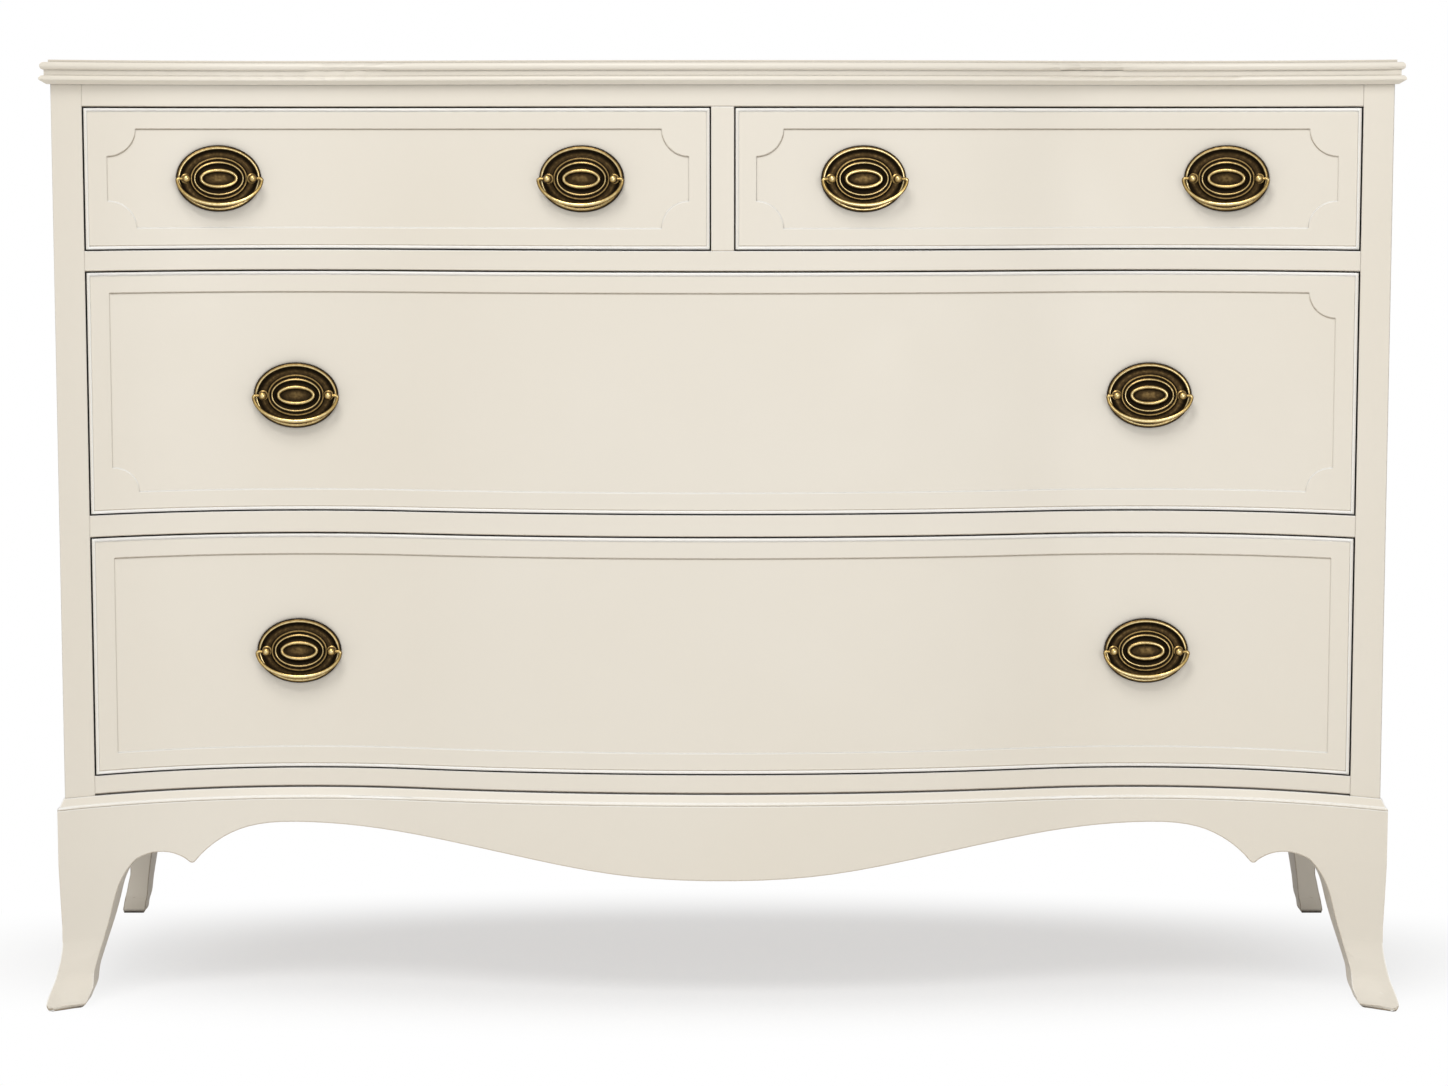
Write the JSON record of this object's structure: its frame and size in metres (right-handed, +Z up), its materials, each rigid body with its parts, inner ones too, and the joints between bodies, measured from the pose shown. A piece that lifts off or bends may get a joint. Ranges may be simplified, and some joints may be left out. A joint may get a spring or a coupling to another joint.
{
  "type": "serpentine-front dresser",
  "caption": "Painted serpentine-front dresser: two short drawers over two long ones, bail pulls on oval plates, shaped apron and splayed bracket feet.",
  "frame": {"origin": "on the floor, at the middle of the whole dresser's box", "axes": "+Z up, front faces -Y, +X to the right as seen from the front"},
  "size_m": [1.2832, 0.556, 0.895],
  "materials": {
    "cream_paint": "satin",
    "bare_wood": "matte",
    "back_board": "matte",
    "antique_brass": "antique",
    "steel": "satin"
  },
  "bodies": {
    "case": {"top_panel": "cream_paint", "top_moulding": "cream_paint", "base_moulding": "cream_paint", "bottom_rail": "cream_paint", "middle_rail": "cream_paint", "upper_rail": "cream_paint", "top_rail": "cream_paint", "center_stile": "cream_paint", "front_posts": "cream_paint", "rear_posts": "cream_paint", "side_panels": "cream_paint", "back_panel": "back_board", "back_screws": "steel", "rear_rails": "bare_wood", "drawer_runners": "bare_wood", "drawer_guides": "bare_wood", "drawer_stops": "bare_wood", "front_apron": "cream_paint", "side_aprons": "cream_paint", "rear_base_rail": "bare_wood", "front_left_foot": "cream_paint", "front_right_foot": "cream_paint", "rear_feet": "cream_paint", "glue_blocks": "bare_wood"},
    "upper_left_drawer": {"upper_left_front": "cream_paint", "upper_left_cock_bead": "cream_paint", "upper_left_sides": "bare_wood", "upper_left_back": "bare_wood", "upper_left_bottom": "bare_wood", "upper_left_pull_plates": "antique_brass", "upper_left_pull_posts": "antique_brass"},
    "upper_left_left_bail": {"upper_left_left_bail": "antique_brass"},
    "upper_left_right_bail": {"upper_left_right_bail": "antique_brass"},
    "upper_right_drawer": {"upper_right_front": "cream_paint", "upper_right_cock_bead": "cream_paint", "upper_right_sides": "bare_wood", "upper_right_back": "bare_wood", "upper_right_bottom": "bare_wood", "upper_right_pull_plates": "antique_brass", "upper_right_pull_posts": "antique_brass"},
    "upper_right_left_bail": {"upper_right_left_bail": "antique_brass"},
    "upper_right_right_bail": {"upper_right_right_bail": "antique_brass"},
    "middle_drawer": {"middle_front": "cream_paint", "middle_cock_bead": "cream_paint", "middle_sides": "bare_wood", "middle_back": "bare_wood", "middle_bottom": "bare_wood", "middle_pull_plates": "antique_brass", "middle_pull_posts": "antique_brass"},
    "middle_left_bail": {"middle_left_bail": "antique_brass"},
    "middle_right_bail": {"middle_right_bail": "antique_brass"},
    "lower_drawer": {"lower_front": "cream_paint", "lower_cock_bead": "cream_paint", "lower_sides": "bare_wood", "lower_back": "bare_wood", "lower_bottom": "bare_wood", "lower_pull_plates": "antique_brass", "lower_pull_posts": "antique_brass"},
    "lower_left_bail": {"lower_left_bail": "antique_brass"},
    "lower_right_bail": {"lower_right_bail": "antique_brass"}
  },
  "joints": [
    {"name": "upper_left_drawer_slide", "type": "slide", "parent": "case", "child": "upper_left_drawer", "axis": [0, -1, 0], "range_m": [0, 0.36]},
    {"name": "upper_left_left_bail_hinge", "type": "hinge", "parent": "upper_left_drawer", "child": "upper_left_left_bail", "pos_m": [-0.4753, -0.18865, 0.78475], "axis": [-0.9782, -0.2077, 0], "range_deg": [0, 170]},
    {"name": "upper_left_right_bail_hinge", "type": "hinge", "parent": "upper_left_drawer", "child": "upper_left_right_bail", "pos_m": [-0.13352, -0.22216, 0.78475], "axis": [-0.9934, 0.1143, 0], "range_deg": [0, 170]},
    {"name": "upper_right_drawer_slide", "type": "slide", "parent": "case", "child": "upper_right_drawer", "axis": [0, -1, 0], "range_m": [0, 0.36]},
    {"name": "upper_right_left_bail_hinge", "type": "hinge", "parent": "upper_right_drawer", "child": "upper_right_left_bail", "pos_m": [0.13352, -0.22216, 0.78475], "axis": [-0.9934, -0.1143, 0], "range_deg": [0, 170]},
    {"name": "upper_right_right_bail_hinge", "type": "hinge", "parent": "upper_right_drawer", "child": "upper_right_right_bail", "pos_m": [0.4753, -0.18865, 0.78475], "axis": [-0.9782, 0.2077, 0], "range_deg": [0, 170]},
    {"name": "middle_drawer_slide", "type": "slide", "parent": "case", "child": "middle_drawer", "axis": [0, -1, 0], "range_m": [0, 0.36]},
    {"name": "middle_left_bail_hinge", "type": "hinge", "parent": "middle_drawer", "child": "middle_left_bail", "pos_m": [-0.40722, -0.18044, 0.5793], "axis": [-0.9996, -0.028, 0], "range_deg": [0, 170]},
    {"name": "middle_right_bail_hinge", "type": "hinge", "parent": "middle_drawer", "child": "middle_right_bail", "pos_m": [0.40722, -0.18044, 0.5793], "axis": [-0.9996, 0.028, 0], "range_deg": [0, 170]},
    {"name": "lower_drawer_slide", "type": "slide", "parent": "case", "child": "lower_drawer", "axis": [0, -1, 0], "range_m": [0, 0.36]},
    {"name": "lower_left_bail_hinge", "type": "hinge", "parent": "lower_drawer", "child": "lower_left_bail", "pos_m": [-0.40722, -0.18044, 0.33365], "axis": [-0.9996, -0.028, 0], "range_deg": [0, 170]},
    {"name": "lower_right_bail_hinge", "type": "hinge", "parent": "lower_drawer", "child": "lower_right_bail", "pos_m": [0.40722, -0.18044, 0.33365], "axis": [-0.9996, 0.028, 0], "range_deg": [0, 170]}
  ]
}
